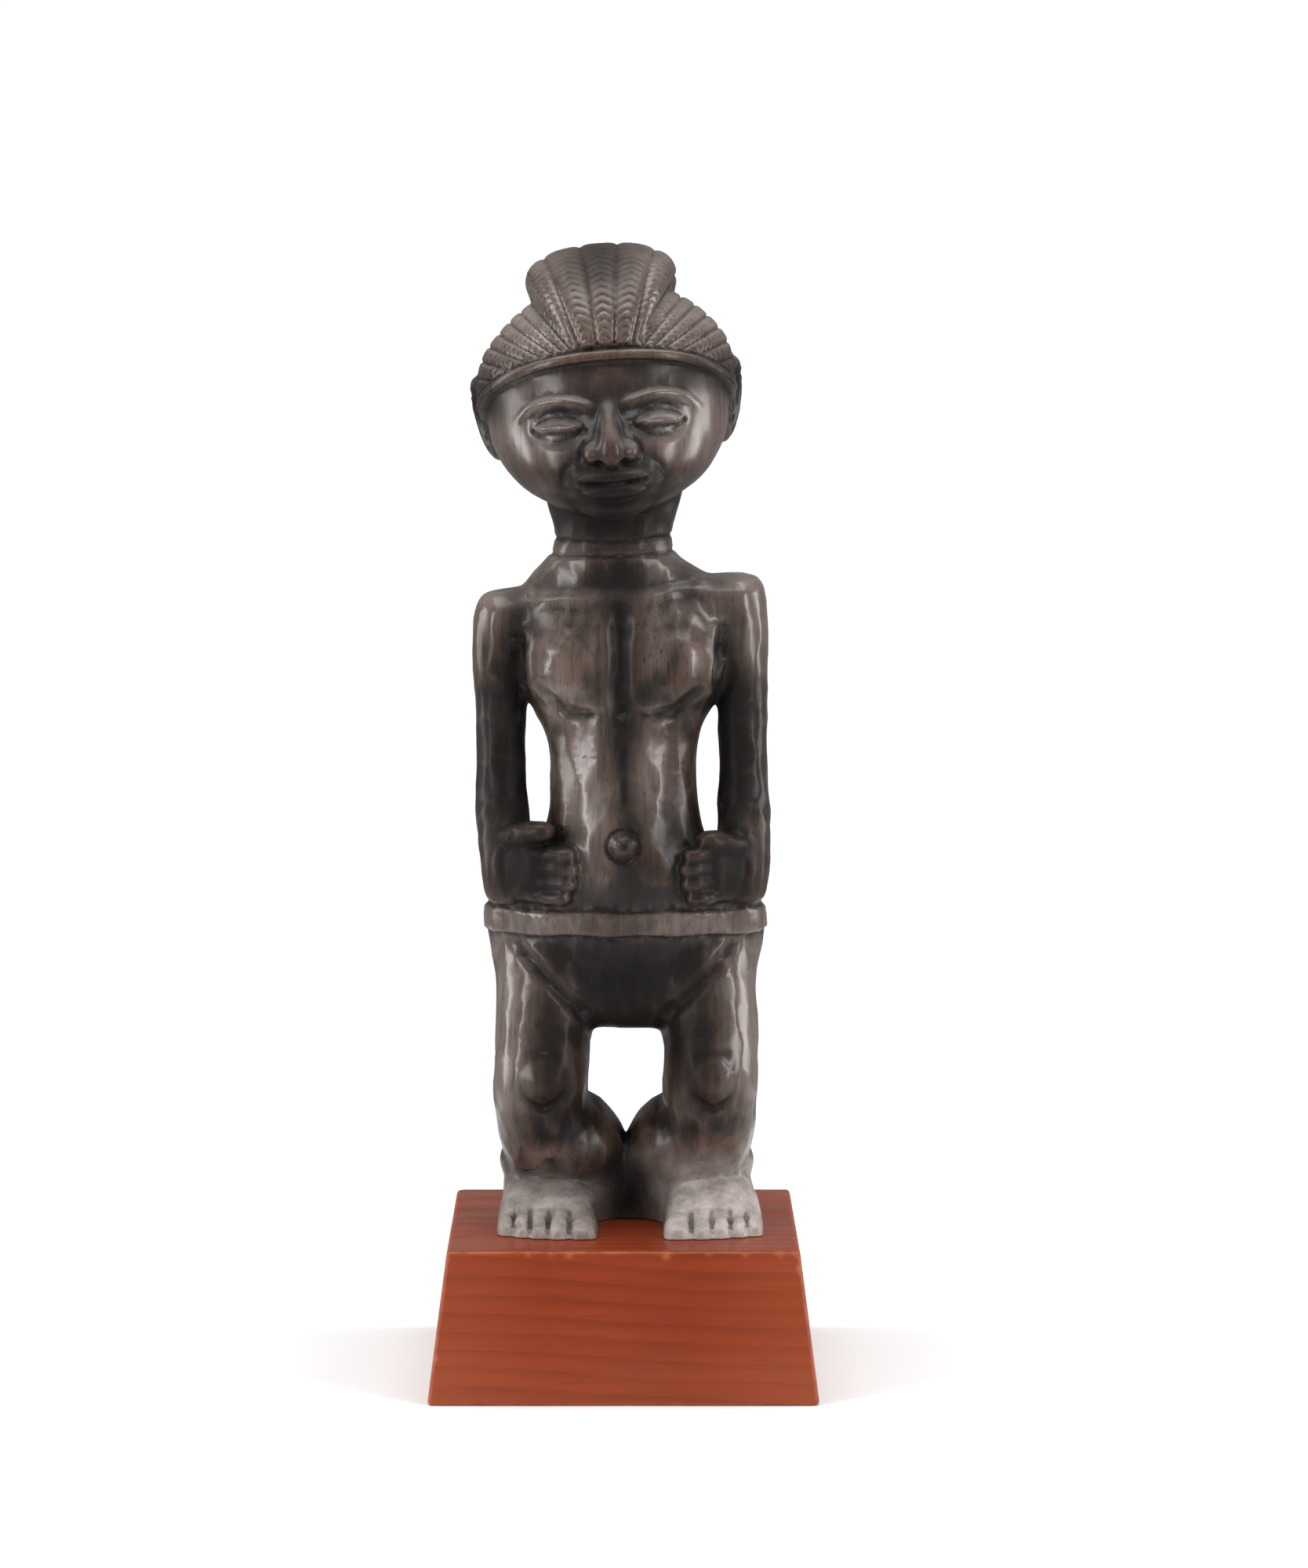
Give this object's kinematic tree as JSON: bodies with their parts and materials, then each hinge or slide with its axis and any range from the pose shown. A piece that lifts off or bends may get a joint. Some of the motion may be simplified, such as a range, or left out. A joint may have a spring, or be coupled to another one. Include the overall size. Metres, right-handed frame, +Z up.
{
  "type": "tribal figure",
  "caption": "Carved wooden standing figure with crested hair, arms free of the waist and hands on the hips, on a tapered red-brown wooden block.",
  "frame": {"origin": "middle of the block's underside", "axes": "+Z up, -Y the way the figure looks, +X the viewer's right"},
  "size_m": [0.1372, 0.1372, 0.4041],
  "materials": {
    "carved_wood": "dark handled hardwood, worn and oiled, satin on the high places and dull in the hollows",
    "block_wood": "red-brown stained and varnished wood, satin"
  },
  "bodies": {
    "root": {"carved_figure": "carved_wood", "display_block": "block_wood"}
  },
  "joints": []
}
